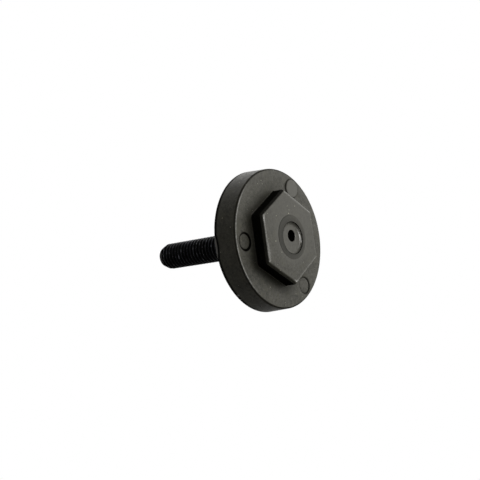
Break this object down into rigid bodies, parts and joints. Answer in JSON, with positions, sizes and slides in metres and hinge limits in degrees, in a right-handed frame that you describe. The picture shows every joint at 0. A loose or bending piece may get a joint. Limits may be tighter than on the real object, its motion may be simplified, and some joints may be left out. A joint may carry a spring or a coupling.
{
  "type": "blade bolt",
  "caption": "Steel bolt with a plastic spanner hexagon and wide round flange moulded over its head, for clamping a cutter blade.",
  "frame": {"origin": "centre of the hexagon's end face, which the bolt stands on", "axes": "+Z along the bolt's axis from the hexagon towards the tip of the shank, +X towards a corner of the hexagon, +Y towards the first ejector mark"},
  "size_m": [0.0414, 0.0414, 0.0493],
  "materials": {
    "black_nylon": "moulded black nylon, finely grained and matt",
    "black_oxide_steel": "black oxide, oiled"
  },
  "bodies": {
    "root": {"moulded_head": "black_nylon", "steel_bolt": "black_oxide_steel"}
  },
  "joints": []
}
